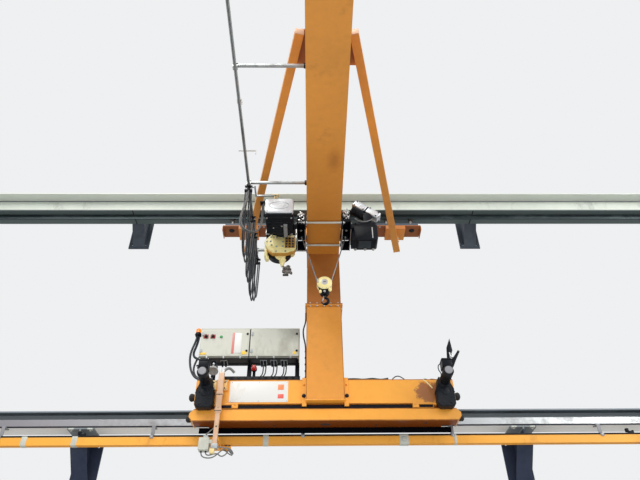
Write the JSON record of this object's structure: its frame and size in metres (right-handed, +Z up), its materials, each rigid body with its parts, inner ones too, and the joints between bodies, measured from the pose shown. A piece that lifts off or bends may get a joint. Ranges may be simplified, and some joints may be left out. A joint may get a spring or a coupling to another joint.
{
  "type": "wall travelling crane",
  "caption": "Wall travelling crane: jib and post on carriages that run along two wall-mounted beams, with a hoist trolley under the jib.",
  "frame": {"origin": "middle of the back face of the lower wall bracket left of the crane", "axes": "+X along the wall, +Y into the wall, +Z up"},
  "size_m": [15.3, 6.015, 4.184],
  "materials": {
    "crane_paint": "orange-yellow gloss enamel, worn at edges",
    "runway_steel": "grey mill paint",
    "bracket_paint": "dark blue-grey paint",
    "guide_steel": "polished by the rollers",
    "conductor_plastic": "orange plastic cover",
    "galvanised": "zinc coated",
    "dark_iron": "black paint on castings",
    "black_paint": "satin black",
    "wheel_steel": "rolled bright",
    "rubber": "matt",
    "cabinet_paint": "light grey powder coat",
    "sign_sheet": "white sheet",
    "hoist_cover": "silver-white cover",
    "gear_paint": "cream-yellow paint",
    "arm_paint": "cream paint",
    "alloy": "ribbed casing",
    "rope_wire": "greased wire rope",
    "cable_sheath": "grey-black cable sheath"
  },
  "bodies": {
    "runway": {"lower_runway_beam": "runway_steel", "upper_runway_beam": "runway_steel", "guide_bars": "guide_steel", "lower_brackets": "bracket_paint", "upper_brackets": "bracket_paint", "conductor_line": "conductor_plastic", "conductor_hangers": "galvanised", "end_stops": "runway_steel"},
    "crane": {"lower_carriage": "crane_paint", "guide_rollers": "wheel_steel", "crossbeam": "crane_paint", "frame_fittings": "crane_paint", "load_wheels": "wheel_steel", "wheel_housings": "crane_paint", "buffers": "rubber", "post_lower": "crane_paint", "post_upper": "crane_paint", "jib": "crane_paint", "trolley_stops": "crane_paint", "upper_neck": "crane_paint", "upper_carriage_plate": "crane_paint", "upper_carriage_channel": "bracket_paint", "braces": "crane_paint", "brace_ties": "crane_paint", "drive_gearboxes": "dark_iron", "drive_motors": "dark_iron", "cabinets": "cabinet_paint", "cabinet_frame": "black_paint", "sign_board": "sign_sheet", "signals": "black_paint", "lever_switch": "black_paint", "collector_arm": "arm_paint", "collector": "conductor_plastic", "junction_box": "cabinet_paint", "festoon_track": "galvanised"},
    "trolley": {"trolley_sides": "black_paint", "trolley_arms": "galvanised", "trolley_wheels": "wheel_steel", "hoist_panel": "hoist_cover", "hoist_housing": "black_paint", "rope_drum": "dark_iron", "hoist_gear_case": "gear_paint", "ballast_box": "black_paint", "travel_motor": "alloy", "festoon_tow": "galvanised", "festoon_loop_3_left": "cable_sheath", "festoon_loop_3_right": "cable_sheath", "hoist_cable_1": "cable_sheath", "hoist_cable_2": "cable_sheath", "hoist_ropes": "rope_wire"},
    "festoon_carrier_a": {"festoon_carrier_1": "galvanised", "festoon_loop_1_left": "cable_sheath", "festoon_loop_1_right": "cable_sheath"},
    "festoon_carrier_b": {"festoon_carrier_2": "galvanised", "festoon_loop_2_left": "cable_sheath", "festoon_loop_2_right": "cable_sheath"},
    "block": {"hook_block": "gear_paint"},
    "hook": {"hook": "dark_iron"}
  },
  "joints": [
    {"name": "crane_travel", "type": "slide", "parent": "runway", "child": "crane", "axis": [1, 0, 0], "range_m": [-6.22, 5.72]},
    {"name": "trolley_travel", "type": "slide", "parent": "crane", "child": "trolley", "axis": [0, -1, 0], "range_m": [0, 3.6]},
    {"name": "festoon_1_travel", "type": "slide", "parent": "crane", "child": "festoon_carrier_a", "axis": [0, -1, 0], "range_m": [0, 1.2]},
    {"name": "festoon_2_travel", "type": "slide", "parent": "crane", "child": "festoon_carrier_b", "axis": [0, -1, 0], "range_m": [0, 2.4]},
    {"name": "hoist_lift", "type": "slide", "parent": "trolley", "child": "block", "axis": [0, 0, 1], "range_m": [-5, 0.2], "deforming": ["hoist_ropes"]},
    {"name": "hook_swivel", "type": "hinge", "parent": "block", "child": "hook", "pos_m": [2.75, -1.2, 1.565], "axis": [0, 0, 1], "continuous": true}
  ],
  "couplings": [
    {"joint": "festoon_1_travel", "follows": "trolley_travel", "ratio": 0.33333},
    {"joint": "festoon_2_travel", "follows": "trolley_travel", "ratio": 0.66667}
  ]
}
